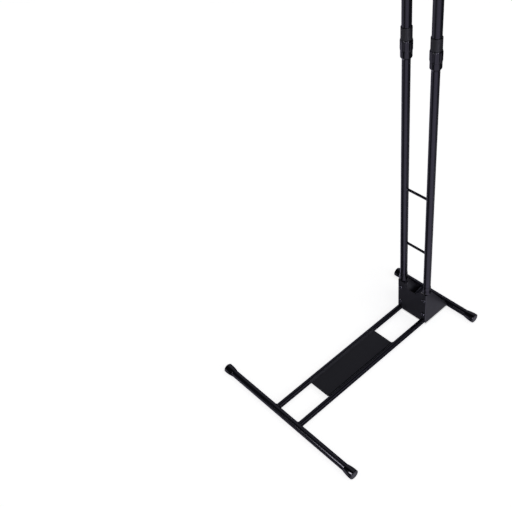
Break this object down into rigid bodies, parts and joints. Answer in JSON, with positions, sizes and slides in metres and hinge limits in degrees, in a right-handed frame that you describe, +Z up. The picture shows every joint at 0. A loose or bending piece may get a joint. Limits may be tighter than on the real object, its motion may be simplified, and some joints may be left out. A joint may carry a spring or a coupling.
{
  "type": "vertical bike stand",
  "caption": "Freestanding black steel stand that holds a bike upright on its rear wheel: floor frame with wheel tray, twin telescopic posts with twist clamps, folded bracket and a rim hook.",
  "frame": {"origin": "on the floor, midway between the two crossbars and midway across the stand", "axes": "+Z up, +Y from the wheel tray towards the posts, X across the stand along the crossbars"},
  "size_m": [0.477, 0.6172, 1.5943],
  "materials": {
    "gloss_black_paint": "gloss black paint with a faint blue-violet tint",
    "satin_charcoal_paint": "satin charcoal paint on folded sheet",
    "gloss_black_plastic": "smooth gloss black plastic",
    "satin_black_plastic": "satin black plastic",
    "black_vinyl": "soft matt black sleeve",
    "black_bolt_steel": "blackened steel",
    "zinc_steel": "bright zinc plate"
  },
  "bodies": {
    "base_frame": {"bracket_bolt_high_left": "black_bolt_steel", "bracket_bolt_high_right": "black_bolt_steel", "bracket_bolt_low_left": "black_bolt_steel", "bracket_bolt_low_right": "black_bolt_steel", "bracket_nut_high_left": "black_bolt_steel", "bracket_nut_high_right": "black_bolt_steel", "bracket_nut_low_left": "black_bolt_steel", "bracket_nut_low_right": "black_bolt_steel", "bracket_spacer_high_left": "satin_black_plastic", "bracket_spacer_high_right": "satin_black_plastic", "bracket_spacer_low_left": "satin_black_plastic", "bracket_spacer_low_right": "satin_black_plastic", "crossbar_front": "gloss_black_paint", "crossbar_rear": "gloss_black_paint", "foot_cap_front_left": "gloss_black_plastic", "foot_cap_front_right": "gloss_black_plastic", "foot_cap_rear_left": "gloss_black_plastic", "foot_cap_rear_right": "gloss_black_plastic", "lower_post_left": "gloss_black_paint", "lower_post_right": "gloss_black_paint", "post_bracket": "satin_charcoal_paint", "post_ferrule_left": "gloss_black_plastic", "post_ferrule_right": "gloss_black_plastic", "post_glide_left": "satin_black_plastic", "post_glide_right": "satin_black_plastic", "post_screw_left": "black_bolt_steel", "post_screw_right": "black_bolt_steel", "post_spigot_left": "gloss_black_paint", "post_spigot_right": "gloss_black_paint", "post_wire_high": "gloss_black_paint", "post_wire_low": "gloss_black_paint", "rail_left": "gloss_black_paint", "rail_right": "gloss_black_paint", "wheel_tray": "satin_charcoal_paint"},
    "upper_frame": {"clamp_body_left": "satin_black_plastic", "clamp_body_right": "satin_black_plastic", "head_wire_high": "gloss_black_paint", "head_wire_low": "gloss_black_paint", "hook_bracket": "satin_charcoal_paint", "hook_nut_back": "zinc_steel", "hook_nut_front": "zinc_steel", "hook_screw_high_left": "black_bolt_steel", "hook_screw_high_right": "black_bolt_steel", "hook_screw_low_left": "black_bolt_steel", "hook_screw_low_right": "black_bolt_steel", "hook_sleeve": "black_vinyl", "hook_tip_cap": "gloss_black_plastic", "hook_washer": "zinc_steel", "top_cap_left": "gloss_black_plastic", "top_cap_right": "gloss_black_plastic", "upper_tube_left": "gloss_black_paint", "upper_tube_right": "gloss_black_paint", "wheel_hook": "gloss_black_paint"},
    "collar_left": {"clamp_collar_left": "gloss_black_plastic"},
    "collar_right": {"clamp_collar_right": "gloss_black_plastic"}
  },
  "joints": [
    {"name": "height_slide", "type": "slide", "parent": "base_frame", "child": "upper_frame", "axis": [0, 0, 1], "range_m": [-0.35, 0.12]},
    {"name": "collar_twist_left", "type": "hinge", "parent": "upper_frame", "child": "collar_left", "pos_m": [-0.0407, 0.20725, 0.826], "axis": [0, 0, 1], "range_deg": [0, 90]},
    {"name": "collar_twist_right", "type": "hinge", "parent": "upper_frame", "child": "collar_right", "pos_m": [0.0407, 0.20725, 0.826], "axis": [0, 0, 1], "range_deg": [0, 90]}
  ]
}
